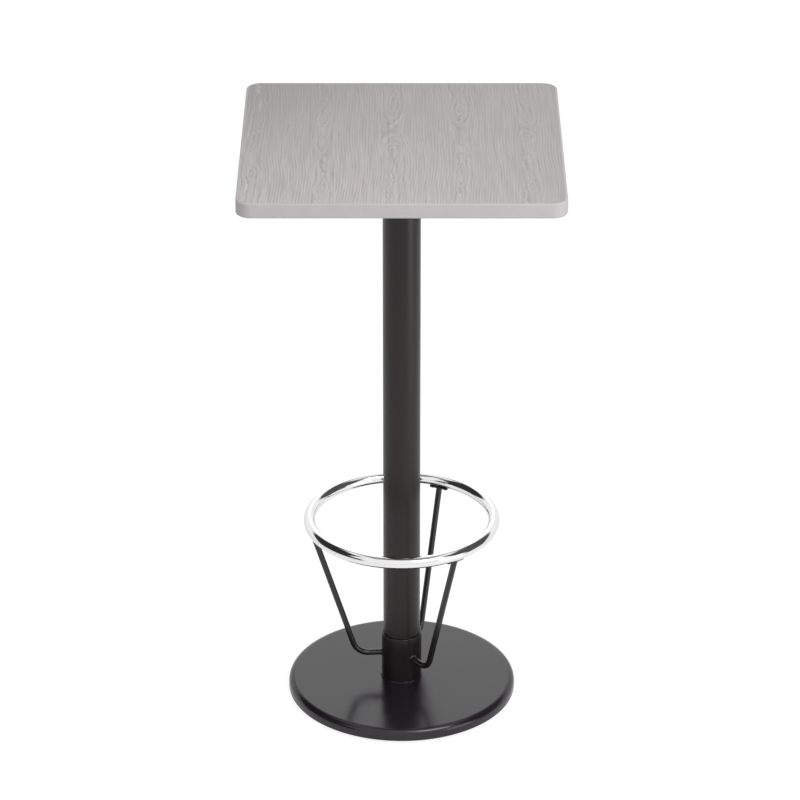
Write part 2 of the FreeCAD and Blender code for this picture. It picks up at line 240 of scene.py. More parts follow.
iron_finish = coated_iron()
casting = lathe([
    (rod_hole, pocket_roof, 0), (rod_hole, base_high.z, 0.5 * mm),
    (spigot, base_high.z, 2 * mm), (spigot, boss_top, 0), (boss_radius, boss_top, eased),
    (boss_radius, base_top, eased), (base_radius, base_top, shoulder),
    (base_radius, base_foot, 1 * mm), (rim_inside, base_foot, 1 * mm),
    (rim_inside, plate_under, 3 * mm), (rib_ring + rib_half, plate_under, cast_round),
    (rib_ring + rib_half, rib_foot, cast_round), (rib_ring - rib_half, rib_foot, cast_round),
    (rib_ring - rib_half, plate_under, cast_round), (pocket_wall, plate_under, cast_round),
    (pocket_wall, rib_foot, cast_round), (pocket, rib_foot, eased), (pocket, pocket_roof, 0)])
spoke_start = pocket_wall - 4 * mm     # each spoke is sunk into the walls that it meets
spoke_end = rim_inside + 3 * mm
spoke_top = plate_under + 4 * mm
spoke_size = (spoke_end - spoke_start, 2 * rib_half, spoke_top - rib_foot)
spoke_middle = ((spoke_start + spoke_end) / 2, 0, (spoke_top + rib_foot) / 2)
spokes = [moved(block(spoke_size, spoke_middle, cast_round), tau * number / 8)
          for number in range(8)]
casting = machined(casting, together(spokes), "UNION")
bosses, wells, holes = [], [], []
for angle in glide_angles:
    for drums, radius, low, high, rounding, steps in (
            (bosses, glide_boss, glide_boss_foot, plate_under + 3 * mm, 1 * mm, 32),
            (wells, wrench_room, 0, glide_boss_foot, 0, 32),
            (holes, tapped_hole, glide_boss_foot - 1 * mm, hole_roof, 0, 24)):
        drum = lathe([(0, low, 0), (radius, low, rounding), (radius, high, 0), (0, high, 0)],
                     steps, 3)
        drums.append(moved(drum, 0, polar(glide_circle, angle)))
casting = machined(casting, together(wells), "DIFFERENCE")
casting = machined(casting, together(bosses), "UNION")
casting = machined(casting, together(holes), "DIFFERENCE")
piece("base_casting", casting, iron_finish)

# ==== Levelling glides ========================================================================
# Each foot is a black nylon pad snapped on the flat head of a plated screw stem. A wrench on
# the stem's hexagon turns it in its tapped boss, so the pad rises or falls.


def pulled(bm, start, by):
    """Extrudes faces, or a loop of edges, and returns the new ones."""
    kind = type(start[0])
    if kind is bmesh.types.BMFace:
        grown = bmesh.ops.extrude_face_region(bm, geom=start)["geom"]
    else:
        grown = bmesh.ops.extrude_edge_only(bm, edges=start)["geom"]
    bmesh.ops.translate(bm, vec=by,
                        verts=[part for part in grown if isinstance(part, bmesh.types.BMVert)])
    return [part for part in grown if isinstance(part, kind)]


def hexagon(across_flats, low, high, chamfer=0.0):
    """A hexagon bar with the corners of both ends turned off, as nuts have."""
    corner = across_flats / sqrt(3)
    past = corner + 1 * mm
    slant = (chamfer + 1 * mm) * 0.58  # at about 30 degrees
    bm = bmesh.new()
    bmesh.ops.create_circle(bm, cap_ends=True, segments=6, radius=corner)
    moved(bm, 0, (0, 0, low))
    pulled(bm, bm.faces[:], (0, 0, high - low))
    turned_off = lathe([(0, low, 0), (corner - chamfer, low, 0), (past, low + slant, 0),
                        (past, high - slant, 0), (corner - chamfer, high, 0), (0, high, 0)], 48)
    return machined(settled(bm), turned_off, "INTERSECT")


def thread(radius, pitch, low, high, steps=20):
    """A screw thread's ridge, a V section spun up the stem and sunk into it."""
    bm = bmesh.new()
    root = radius - 0.6 * pitch - 0.2 * mm
    crest_half = 0.06 * pitch
    root_half = 0.48 * pitch
    ridge = [bm.verts.new((reach, 0, low + pitch / 2 + rise)) for reach, rise in (
        (root, -root_half), (radius, -crest_half), (radius, crest_half), (root, root_half))]
    bm.faces.new(ridge)
    turns = (high - low) / pitch - 1
    count = round(turns * steps)
    bmesh.ops.spin(bm, geom=bm.faces[:] + bm.edges[:] + bm.verts[:], cent=(0, 0, 0),
                   axis=(0, 0, 1), dvec=(0, 0, pitch / steps), angle=tau * count / steps,
                   steps=count)
    return settled(bm)


def moulded_nylon():
    """Moulded nylon: black right through, a dull sheen and a faint mould texture."""
    made, tree = blank("moulded_black_nylon")
    spot = add(tree, "TexCoord").outputs["Object"]
    grit = add(tree, "TexNoise", {"Vector": spot, "Scale": 1 / (0.5 * mm), "Detail": 2.0})
    tone = add(tree, "Mix", {0: grit, 6: "#1a1a1b", 7: "#262627"}, data_type="RGBA")
    rough = add(tree, "MapRange", {"Value": grit, 3: 0.45, 4: 0.6})
    skin = add(tree, "Bump", {"Height": grit, "Distance": 0.02 * mm})
    shader = add(tree, "BsdfPrincipled", {"Base Color": tone, "Roughness": rough, "IOR": 1.53,
                                          "Normal": skin})
    add(tree, "OutputMaterial", {"Surface": shader})
    return made


def zinc_plate():
    """Bright zinc plate on turned steel: a cool grey metal with tool marks and a cloudy film."""
    made, tree = blank("bright_zinc_plate_on_steel")
    spot = add(tree, "TexCoord").outputs["Object"]
    cloud = add(tree, "TexNoise", {"Vector": spot, "Scale": 1 / (7 * mm), "Detail": 4.0})
    along, step = 1 / (16.67 * mm), 1 / (0.25 * mm)
    lines = add(tree, "Mapping", {"Vector": spot, "Scale": (along, along, step)})
    marks = add(tree, "TexNoise", {"Vector": lines, "Scale": 1.0, "Detail": 1.0})
    tone = add(tree, "Mix", {0: cloud, 6: "#b4b8bd", 7: "#d6d8d9"}, data_type="RGBA")
    rough = add(tree, "MapRange", {"Value": cloud, 1: 0.3, 2: 0.7, 3: 0.26, 4: 0.42})
    skin = add(tree, "Bump", {"Height": marks, "Distance": 0.006 * mm})
    shader = add(tree, "BsdfPrincipled", {"Base Color": tone, "Metallic": 1.0,
                                          "Roughness": rough, "Normal": skin})
    add(tree, "OutputMaterial", {"Surface": shader})
    return made


nylon_finish = moulded_nylon()
zinc_finish = zinc_plate()
pad_radius = 15 * mm
stem_radius = 4 * mm
stem_core = 3.3 * mm                   # root of the M8 thread
stem_pitch = 1.25 * mm
head_radius = 6 * mm
head_low, head_high = 1.2 * mm, 3.7 * mm
wrench_flats = 13 * mm
play = 0.05 * mm
neck = stem_radius + play
cavity = head_radius + play
thread_low = 8.6 * mm
for corner, angle in zip(("front_left", "front_right", "back_right", "back_left"), glide_angles):
    seat = polar(glide_circle, angle)
    pad_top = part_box("glide_pad_" + corner)[1].z
    stem_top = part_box("glide_stem_" + corner)[1].z
    pad = lathe([(0, 0, 0), (pad_radius, 0, 0.5 * mm), (pad_radius, pad_top, 1 * mm),
                 (neck, pad_top, 0.2 * mm), (neck, head_high + play, 0),
                 (cavity, head_high + play, 0), (cavity, head_low, 0), (0, head_low, 0)], 64, 3)
    piece("glide_pad_" + corner, moved(pad, 0, seat), nylon_finish, "pad_" + corner)
    core = lathe([(0, head_low, 0), (head_radius, head_low, 0), (head_radius, head_high, 0.2 * mm),
                  (stem_radius, head_high, 0), (stem_radius, thread_low - 0.2 * mm, 0),
                  (stem_core, thread_low + 0.4 * mm, 0), (stem_core, stem_top, 0.4 * mm),
                  (0, stem_top, 0)], 48, 3)
    flats = hexagon(wrench_flats, pad_top + 0.2 * mm, pad_top + 3.2 * mm, 0.5 * mm)
    stem = together([machined(core, flats, "UNION"),
                     thread(stem_radius, stem_pitch, thread_low, stem_top - 0.2 * mm)])
    piece("glide_stem_" + corner, moved(stem, 0, seat), zinc_finish, "stem_" + corner)

# ==== Column ==================================================================================
# A welded steel tube, cut square and clamped between the base and the spider by the tie rod
# inside it. It is powder coated satin black after cutting.


def coated_steel():
    """Powder coat on steel tube: warm black, satin, with the coat's own fine orange peel and a
    little more or less gloss from place to place."""
    made, tree = blank("satin_black_powder_coat_on_steel")
    spot = add(tree, "TexCoord").outputs["Object"]
    cloud = add(tree, "TexNoise", {"Vector": spot, "Scale": 1 / (90 * mm), "Detail": 3.0})
    peel = add(tree, "TexNoise", {"Vector": spot, "Scale": 1 / (1.8 * mm), "Detail": 1.0})
    tone = add(tree, "Mix", {0: cloud, 6: "#190f11", 7: "#211718"}, data_type="RGBA")
    rough = add(tree, "MapRange", {"Value": cloud, 1: 0.3, 2: 0.7, 3: 0.3, 4: 0.38})
    skin = add(tree, "Bump", {"Height": peel, "Distance": 0.01 * mm})
    shader = add(tree, "BsdfPrincipled", {"Base Color": tone, "Roughness": rough, "IOR": 1.43,
                                          "Normal": skin})
    add(tree, "OutputMaterial", {"Surface": shader})
    return made


column_radius = column_high.x
column_bore = column_radius - 1.5 * mm
deburred = 0.3 * mm
piece("column_tube", lathe([
    (column_bore, column_low.z, deburred), (column_radius, column_low.z, deburred),
    (column_radius, column_high.z, deburred), (column_bore, column_high.z, deburred)], 128, 2),
    coated_steel())

# ==== Foot-ring collar ========================================================================
# A thick sleeve that slides over the column and stands on the base's low step. Three cup-point
# set screws, one beside each rod, lock it. The rods are welded to it before it is coated.


def black_oxide():
    """Black oxide on steel screws: a thin dark conversion film, slightly oily, on metal."""
    made, tree = blank("black_oxide_on_steel")
    spot = add(tree, "TexCoord").outputs["Object"]
    cloud = add(tree, "TexNoise", {"Vector": spot, "Scale": 1 / (3 * mm), "Detail": 3.0})
    tone = add(tree, "Mix", {0: cloud, 6: "#333336", 7: "#4b4a4c"}, data_type="RGBA")
    rough = add(tree, "MapRange", {"Value": cloud, 3: 0.3, 4: 0.5})
    shader = add(tree, "BsdfPrincipled", {"Base Color": tone, "Metallic": 1.0,
                                          "Roughness": rough})
    add(tree, "OutputMaterial", {"Surface": shader})
    return made


def gloss_coat():
    """Powder coat on the foot-ring set: a deeper black than the column's and glossier, with a
    fine orange peel."""
    made, tree = blank("gloss_black_powder_coat_on_steel")
    spot = add(tree, "TexCoord").outputs["Object"]
    cloud = add(tree, "TexNoise", {"Vector": spot, "Scale": 1 / (35 * mm), "Detail": 3.0})
    peel = add(tree, "TexNoise", {"Vector": spot, "Scale": 1 / (2.2 * mm), "Detail": 1.0})
    tone = add(tree, "Mix", {0: cloud, 6: "#1b161a", 7: "#241f22"}, data_type="RGBA")
    rough = add(tree, "MapRange", {"Value": cloud, 1: 0.3, 2: 0.7, 3: 0.16, 4: 0.24})
    skin = add(tree, "Bump", {"Height": peel, "Distance": 0.008 * mm})
    shader = add(tree, "BsdfPrincipled", {"Base Color": tone, "Roughness": rough, "IOR": 1.5,
                                          "Normal": skin})
    add(tree, "OutputMaterial", {"Surface": shader})
    return made


oxide_finish = black_oxide()
gloss_finish = gloss_coat()
collar_low, collar_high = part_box("foot_ring_collar")
collar_radius = collar_high.x
collar_bore = column_radius + 0.15 * mm
stay_angles = {"left": 185, "front": 305, "back": 65}
screw_turn = -12                       # degrees from each rod, clear of its weld
screw_level = collar_low.z + 8 * mm
screw_radius = 3 * mm
screw_end = column_radius + 4 * mm     # a little outside the collar's face
socket_flats, socket_depth = 3 * mm, 1.8 * mm
drill_radius = screw_radius + play
flare = screw_radius + 0.6 * mm
drill_end = collar_radius + 6 * mm
collar = lathe([(collar_bore, collar_low.z, 0.4 * mm), (collar_radius, collar_low.z, 1 * mm),
                (collar_radius, collar_high.z, 1 * mm), (collar_bore, collar_high.z, 0.4 * mm)],
               128, 3)
drills, screws = [], []
for angle in stay_angles.values():
    drill = lathe([(0, column_bore, 0), (drill_radius, column_bore, 0),
                   (drill_radius, collar_radius - 0.6 * mm, 0),
                   (flare, collar_radius + 0.1 * mm, 0), (flare, drill_end, 0),
                   (0, drill_end, 0)], 32)
    screw = lathe([(0, column_radius, 0), (2 * mm, column_radius, 0),
                   (screw_radius, column_radius + 1 * mm, 0), (screw_radius, screw_end, 0.4 * mm),
                   (0, screw_end, 0)], 32, 3)
    socket = hexagon(socket_flats, screw_end - socket_depth, screw_end + 2 * mm)
    for made, bm in ((drills, drill), (screws, machined(screw, socket, "DIFFERENCE"))):
        moved(bm, radians(90), axis="Y")
        made.append(moved(bm, radians(angle + screw_turn), (0, 0, screw_level)))
piece("foot_ring_collar", machined(collar, together(drills), "DIFFERENCE"), gloss_finish)
piece("collar_set_screws", together(screws), oxide_finish)

# ==== Rods and their pads =====================================================================
# Three bent round rods reach up from the collar. Each is welded to the collar at one end and
# to a short curved pad at the other, and the foot ring lies on the three pads.
ring_low, ring_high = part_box("foot_ring")
tube_radius = (ring_high.z - ring_low.z) / 2
ring_radius = ring_high.x - tube_radius
ring_level = (ring_high.z + ring_low.z) / 2
pad_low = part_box("stay_pad_left")[0].z
pad_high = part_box("stay_pad_left")[1].z
rod_radius = 5.7 * mm
leg_level = collar_low.z + 46.5 * mm
knee = collar_radius + 48 * mm         # where the level leg and the slope would meet
rod_top = ring_radius - 2.5 * mm
bend_radius = 32 * mm
slope = atan2(pad_low - leg_level, rod_top - knee)
tangent = bend_radius * tan(slope / 2)
pad_width = 12 * mm
pad_half_turn = 19 * mm / rod_top      # the pad's middle line runs through the rod's end
ring_screw_turn = 13.5 * mm / rod_top
lower_bead, upper_bead = 1.9 * mm, 0.9 * mm
ripples = 24                           # round one bead, as the torch leaves them


def swung(bm, loop, **turn):
    """Spins a loop of edges round an axis and returns its new end."""
    last = bmesh.ops.spin(bm, geom=loop, **turn)["geom_last"]
    return [part for part in last if isinstance(part, bmesh.types.BMEdge)]


def rod():
    """One rod along +X: a level leg out of the collar, one bend and a straight slope, cut off
    level under its pad."""
    bm = bmesh.new()
    inside = collar_radius - 2 * mm
    run = (pad_low - leg_level) / sin(slope) - tangent + 2 * rod_radius
    bmesh.ops.create_circle(bm, segments=32, radius=rod_radius)
    moved(bm, radians(90), (inside, 0, leg_level), "Y")
    end = pulled(bm, bm.edges[:], (knee - tangent - inside, 0, 0))
    end = swung(bm, end, cent=(knee - tangent, 0, leg_level + bend_radius), axis=(0, -1, 0),
                angle=slope, steps=18)
    pulled(bm, end, (run * cos(slope), 0, run * sin(slope)))
    bmesh.ops.bisect_plane(bm, geom=bm.verts[:] + bm.edges[:] + bm.faces[:],
                           plane_co=(0, 0, pad_low), plane_no=(0, 0, 1), clear_outer=True)
    bmesh.ops.holes_fill(bm, edges=bm.edges[:], sides=0)
    return settled(bm)


def weld(leg, facing, place):
    """A fillet bead round a rod. Its flat side lies on the X-Y plane before it is turned to
    face its rod."""
    under, inner = -1.2 * mm, rod_radius - 1 * mm
    bm = lathe([(inner, under, 0), (rod_radius + leg, under, 0),
                (rod_radius + leg, 0.18 * leg, 0.14 * leg),
                (rod_radius + 0.32 * leg, 0.82 * leg, 0.28 * leg), (inner, leg, 0)], 96, 3)
    for vert in bm.verts:
        if vert.co.z > 0:
            vert.co.z += 0.04 * leg * sin(ripples * atan2(vert.co.y, vert.co.x))
    return moved(bm, facing, place, "Y")


def welded_rod():
    """The rod with its two beads. The lower bead is bent to the round of the collar."""
    lower = weld(lower_bead, radians(90), (collar_radius, 0, leg_level))
    for vert in lower.verts:
        vert.co.x -= collar_radius - sqrt(collar_radius ** 2 - vert.co.y ** 2)
    return together([rod(), lower, weld(upper_bead, radians(180), (rod_top, 0, pad_low))])


def ring_torus():
    """The foot ring's tube."""
    bm = bmesh.new()
    bmesh.ops.create_circle(bm, segments=40, radius=tube_radius)
    moved(bm, radians(90), (ring_radius, 0, ring_level), "X")
    bmesh.ops.spin(bm, geom=bm.verts[:] + bm.edges[:], cent=(0, 0, 0), axis=(0, 0, 1), angle=tau,
                   steps=200, use_merge=True)
    return settled(bm)


def pad():
    """A curved flat bar with its corners rounded and its edges eased, hollowed on top to
    cradle the ring."""
    bm = bmesh.new()
    bmesh.ops.create_grid(bm, x_segments=1, y_segments=1, size=0.5)
    moved(bm, radians(90), axis="X")
    bmesh.ops.scale(bm, vec=(pad_width, 1, pad_high - pad_low), verts=bm.verts)
    moved(bm, 0, (rod_top, 0, (pad_high + pad_low) / 2))
    moved(bm, -pad_half_turn)
    bmesh.ops.spin(bm, geom=bm.faces[:], cent=(0, 0, 0), axis=(0, 0, 1),
                   angle=2 * pad_half_turn, steps=8)
    settled(bm)
    upright = [edge for edge in bm.edges if abs(edge.verts[0].co.z - edge.verts[1].co.z) > 1 * mm
               and edge.calc_face_angle() > 1]
    rounded(bm, upright, 4 * mm, 5)
    rounded(bm, [edge for edge in bm.edges if edge.calc_face_angle() > 1], 0.5 * mm, 2)
    return machined(bm, ring_torus(), "DIFFERENCE")


for side, angle in stay_angles.items():
    piece("stay_" + side, moved(welded_rod(), radians(angle)), gloss_finish)
    piece("stay_pad_" + side, moved(pad(), radians(angle)), gloss_finish)

# ==== Foot ring ===============================================================================
# One length of steel tube rolled to a circle, butt welded, ground, polished and chrome plated.
# Six short socket screws, two up through each pad, hold it down on the rods.


def chrome():
    """Polished bright chrome: a mirror with the faint length-wise unevenness of rolled tube."""
    made, tree = blank("bright_chrome_plate_on_steel")
    spot = add(tree, "TexCoord").outputs["Object"]
    cloud = add(tree, "TexNoise", {"Vector": spot, "Scale": 1 / (25 * mm), "Detail": 4.0})
    fine = add(tree, "TexNoise", {"Vector": spot, "Scale": 1 / (1.2 * mm), "Detail": 3.0})
    tone = add(tree, "Mix", {0: cloud, 6: "#e6e6e8", 7: "#f2f1f2"}, data_type="RGBA")
    rough = add(tree, "MapRange", {"Value": fine, 1: 0.3, 2: 0.7, 3: 0.035, 4: 0.075})
    wave = add(tree, "Bump", {"Height": cloud, "Distance": 0.03 * mm})
    shader = add(tree, "BsdfPrincipled", {"Base Color": tone, "Metallic": 1.0,
                                          "Roughness": rough, "Normal": wave})
    add(tree, "OutputMaterial", {"Surface": shader})
    return made


piece("foot_ring", ring_torus(), chrome())
button_foot = pad_low - 2.4 * mm
button_radius = 4 * mm
shank_radius = 2 * mm
screw_tip = ring_level - tube_radius + 4.5 * mm
buttons = []
for angle in stay_angles.values():
    for side in (-1, 1):
        button = lathe([(0, button_foot, 0), (button_radius, button_foot, 1.8 * mm),
                        (button_radius, pad_low, 0), (shank_radius, pad_low, 0),
                        (shank_radius, screw_tip, 0), (0, screw_tip, 0)], 40, 5)
        socket = hexagon(2.5 * mm, button_foot - 2 * mm, pad_low - 1 * mm)
        button = machined(button, socket, "DIFFERENCE")
        buttons.append(moved(button, 0, polar(rod_top, radians(angle) + side * ring_screw_turn)))
piece("ring_screws", together(buttons), oxide_finish)

# ==== Table top ===============================================================================
# Particle board pressed between a printed wood-grain laminate above and a plain balancing
# sheet below. The decor shows boards of grey-washed oak running front to back.
top_low, top_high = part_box("top_laminate")
under_low, under_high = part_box("top_backer")
board_side = 2 * top_high.x
board_corner = 24 * mm


def sheet(low, high, easing):
    """A square sheet with round corners, its upper arris eased."""
    bm = bmesh.new()
    bmesh.ops.create_grid(bm, x_segments=1, y_segments=1, size=board_side / 2)
    moved(bm, 0, (0, 0, low))
    rounded(bm, bm.verts[:], board_corner, 16, "VERTICES")
    top = pulled(bm, bm.faces[:], (0, 0, high - low))
    rounded(bm, [edge for face in top for edge in face.edges], easing, 2)
    return settled(bm)


def wood_laminate():
    """High-pressure laminate with a printed oak decor, grey washed, in a fine matt emboss. Every
    board of the print has a wandering heart with small closed rings, and straight grain beside
    it. Each ring is a dark line with a pale one next to it. Painted shade makes the print darker
    towards the back and towards the sides."""
    made, tree = blank("grey_washed_oak_print_laminate")
    spot = add(tree, "TexCoord").outputs["Object"]
    board_width = 124 * mm
    board_shift = 0.66 * board_width
    ring_step = 5 * mm
    heart_swing = 13 * mm              # to each side of the board's middle
    heart_depth = 20 * mm              # above and below the sheet
    heart_length = 222.2 * mm          # about one closed figure in each such length
    knotty, calm = 3 * mm, 22 * mm     # the rings' lumps fade between these, from the heart
    deep_lump, calm_lump = 12 * mm, 0.4 * mm
    board_seed = 9.0                   # sets each board in another place of the pattern
    # The mix goes from greenish at 0 to pinkish at 1: its value in the middle of the top, then the
    #     painted shade: its fall towards the back, how that differs from left to right, and its
    #         fall to the sides.
    wash_middle, painted_shade_back, painted_shade_twist, painted_shade_sides = 0.54, -1.0, 3.3, -2.7

    def sized(width, length):
        """The scale of a pattern this wide across the grain and this long with it."""
        return 1 / width, 1 / length, 1

    parts = add(tree, "SeparateXYZ", {0: spot})
    x, y = parts.outputs["X"], parts.outputs["Y"]
    across = add(tree, "Math", {0: x, 1: board_shift}, operation="ADD")
    count = add(tree, "Math", {0: across, 1: board_width}, operation="DIVIDE")
    board = add(tree, "Math", {0: count}, operation="FLOOR")
    inside = add(tree, "Math", {0: count}, operation="FRACT")
    centred = add(tree, "MapRange", {"Value": inside, 3: -board_width / 2, 4: board_width / 2})
    chance = add(tree, "TexWhiteNoise", {"W": board}, noise_dimensions="1D")
    drift_place = add(tree, "Mapping", {"Vector": spot, "Scale": sized(333.3 * mm, 250 * mm)})
    drift = add(tree, "TexNoise", {"Vector": drift_place, "Scale": 1.0, "Detail": 0.0})
    sway = add(tree, "MapRange", {"Value": drift, 3: -heart_swing, 4: heart_swing})
    swayed = add(tree, "Math", {0: centred, 1: sway}, operation="ADD")
    aside = add(tree, "Math", {0: swayed}, operation="ABSOLUTE")
    lump_place = add(tree, "Mapping", {"Vector": spot, "Scale": sized(17.24 * mm, 38.46 * mm)})
    lump = add(tree, "TexNoise", {"Vector": lump_place, "Scale": 1.0, "Detail": 2.0})
    gnarl = add(tree, "MapRange", {"Value": aside, 1: knotty, 2: calm, 3: deep_lump,
                                   4: calm_lump}, interpolation_type="SMOOTHSTEP")
    wobble = add(tree, "Math", {0: lump, 1: gnarl}, operation="MULTIPLY")
    seat = add(tree, "Math", {0: chance, 1: board_seed}, operation="MULTIPLY")
    far = add(tree, "Math", {0: y, 1: 1 / heart_length, 2: seat}, operation="MULTIPLY_ADD")
    heart_place = add(tree, "CombineXYZ", {0: seat, 1: far})
    heart = add(tree, "TexNoise", {"Vector": heart_place, "Scale": 1.0, "Detail": 1.0})
    depth = add(tree, "MapRange", {"Value": heart, 1: 0.25, 2: 0.75, 3: -heart_depth,
                                   4: heart_depth})
    cut = add(tree, "CombineXYZ", {0: swayed, 1: depth})
    reach = add(tree, "VectorMath", {0: cut}, operation="LENGTH")
    grown = add(tree, "Math", {0: reach, 1: wobble}, operation="ADD")
    rings = add(tree, "Math", {0: grown, 1: ring_step}, operation="DIVIDE")
    phase = add(tree, "Math", {0: rings}, operation="FRACT")
    late = add(tree, "MapRange", {"Value": phase, 1: 0.45, 2: 0.9},
               interpolation_type="SMOOTHSTEP")
    early = add(tree, "MapRange", {"Value": phase, 1: 0.0, 2: 0.3, 3: 1.0, 4: 0.0},
                interpolation_type="SMOOTHSTEP")
    patch_place = add(tree, "Mapping", {"Vector": spot, "Scale": sized(9 * mm, 71.4 * mm)})
    patch = add(tree, "TexNoise", {"Vector": patch_place, "Scale": 1.0, "Detail": 2.0})
    strength = add(tree, "MapRange", {"Value": patch, 1: 0.38, 2: 0.66, 3: 0.12, 4: 0.7})
    fibre_place = add(tree, "Mapping", {"Vector": spot, "Scale": sized(3.2 * mm, 142.9 * mm)})
    fibre = add(tree, "TexNoise", {"Vector": fibre_place, "Scale": 1.0, "Detail": 3.0,
                                   "Roughness": 0.7})
    broad_place = add(tree, "Mapping", {"Vector": spot, "Scale": sized(38.46 * mm, 200 * mm)})
    broad = add(tree, "TexNoise", {"Vector": broad_place, "Scale": 1.0, "Detail": 2.0})
    # Painted shade: a slow gradient that darkens the print towards the back and the sides, twisted
    # from left to right. The broad noise added to it is the print's own tone.
    slant = add(tree, "Math", {0: x, 1: painted_shade_twist, 2: painted_shade_back}, operation="MULTIPLY_ADD")
    twist = add(tree, "Math", {0: slant, 1: y, 2: wash_middle}, operation="MULTIPLY_ADD")
    square = add(tree, "Math", {0: x, 1: x}, operation="MULTIPLY")
    painted_shade_gradient = add(tree, "Math", {0: square, 1: painted_shade_sides, 2: twist}, operation="MULTIPLY_ADD")
    tone_and_painted_shade = add(tree, "Math", {0: broad, 1: 0.3, 2: painted_shade_gradient}, operation="MULTIPLY_ADD")
    tone = add(tree, "Mix", {0: tone_and_painted_shade, 6: "#9c9c9a", 7: "#c4bcbe"}, data_type="RGBA")
    dark = add(tree, "Math", {0: late, 1: strength}, operation="MULTIPLY")
    grain = add(tree, "Mix", {0: dark, 6: tone, 7: "#989392"}, data_type="RGBA")
    pale = add(tree, "Math", {0: early, 1: strength}, operation="MULTIPLY")
    washed = add(tree, "Mix", {0: pale, 6: grain, 7: "#cbc7c6"}, data_type="RGBA")
    streak = add(tree, "MapRange", {"Value": fibre, 1: 0.42, 2: 0.68, 4: 0.48})
    print_ = add(tree, "Mix", {0: streak, 6: washed, 7: "#979291"}, data_type="RGBA")
    emboss = add(tree, "Math", {0: fibre, 1: late}, operation="SUBTRACT")
    skin = add(tree, "Bump", {"Height": emboss, "Distance": 0.06 * mm})
    rough = add(tree, "MapRange", {"Value": fibre, 3: 0.5, 4: 0.62})
    shader = add(tree, "BsdfPrincipled", {"Base Color": print_, "Roughness": rough, "IOR": 1.5,
                                          "Normal": skin})
    add(tree, "OutputMaterial", {"Surface": shader})
    return made


def balancing_sheet():
    """Plain melamine-faced balancing sheet: pale grey, matt and faintly fibrous."""
    made, tree = blank("pale_grey_melamine_balancing_sheet")
    spot = add(tree, "TexCoord").outputs["Object"]
    fibre = add(tree, "TexNoise", {"Vector": spot, "Scale": 1 / (4 * mm), "Detail": 4.0})
    cloud = add(tree, "TexNoise", {"Vector": spot, "Scale": 1 / (80 * mm), "Detail": 3.0})
    tone = add(tree, "Mix", {0: cloud, 6: "#b9b6b2", 7: "#c3c0bc"}, data_type="RGBA")
    mottle = add(tree, "Mix", {0: fibre, 6: tone, 7: "#aeaaa5"}, data_type="RGBA")
    rough = add(tree, "MapRange", {"Value": fibre, 3: 0.55, 4: 0.75})
    skin = add(tree, "Bump", {"Height": fibre, "Distance": 0.02 * mm})
    shader = add(tree, "BsdfPrincipled", {"Base Color": mottle, "Roughness": rough, "IOR": 1.5,
                                          "Normal": skin})
    add(tree, "OutputMaterial", {"Surface": shader})
    return made


def particle_board():
    """Raw particle board: pressed chips of pale wood about 3 mm across."""
    made, tree = blank("raw_particle_board")
    spot = add(tree, "TexCoord").outputs["Object"]
    chips = add(tree, "TexVoronoi", {"Vector": spot, "Scale": 1 / (3 * mm)})
    parts = add(tree, "SeparateXYZ", {0: chips.outputs["Color"]})
    tone = add(tree, "Mix", {0: parts, 6: "#b89a6c", 7: "#dcc69c"}, data_type="RGBA")
    skin = add(tree, "Bump", {"Height": chips.outputs["Distance"], "Distance": 0.2 * mm})
    shader = add(tree, "BsdfPrincipled", {"Base Color": tone, "Roughness": 0.85, "IOR": 1.45,
                                          "Normal": skin})
    add(tree, "OutputMaterial", {"Surface": shader})
    return made


piece("top_laminate", sheet(top_low.z, top_high.z, 0.25 * mm), wood_laminate())
piece("top_backer", sheet(under_low.z, under_high.z, 0.1 * mm), balancing_sheet())
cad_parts["top_core"].data.materials.clear()
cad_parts["top_core"].data.materials.append(particle_board())

# ==== Edge strip ==============================================================================
# An extruded vinyl T section, hammered into a groove round the board. It is one length, and
# its two ends butt together in the middle of the back.
strip_low, strip_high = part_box("edge_strip")
top_half = strip_high.x
strip_inner = top_high.x
strip_corner = board_corner + top_half - strip_inner
groove_level = (strip_low.z + strip_high.z) / 2
tongue = strip_inner - 8 * mm
tongue_low, tongue_high = groove_level - 1 * mm, groove_level + 1 * mm
strip_round = 3 * mm
seam = 0.15 * mm                       # half the gap where the two ends meet


def edge_vinyl():
    """Extruded vinyl: pale warm grey right through, satin, with faint lines along its length."""
    made, tree = blank("pale_grey_extruded_vinyl")
    spot = add(tree, "TexCoord").outputs["Object"]
    along, step = 1 / (111.1 * mm), 1 / (0.9 * mm)
    drawn = add(tree, "Mapping", {"Vector": spot, "Scale": (along, along, step)})
    lines = add(tree, "TexNoise", {"Vector": drawn, "Scale": 1.0, "Detail": 2.0})
    cloud = add(tree, "TexNoise", {"Vector": spot, "Scale": 1 / (30 * mm), "Detail": 3.0})
    tone = add(tree, "Mix", {0: cloud, 6: "#bdb8ba", 7: "#c6c1c3"}, data_type="RGBA")
    rough = add(tree, "MapRange", {"Value": lines, 3: 0.6, 4: 0.72})
    skin = add(tree, "Bump", {"Height": lines, "Distance": 0.01 * mm})
    shader = add(tree, "BsdfPrincipled", {"Base Color": tone, "Roughness": rough, "IOR": 1.53,
                                          "Normal": skin})
    add(tree, "OutputMaterial", {"Surface": shader})
    return made


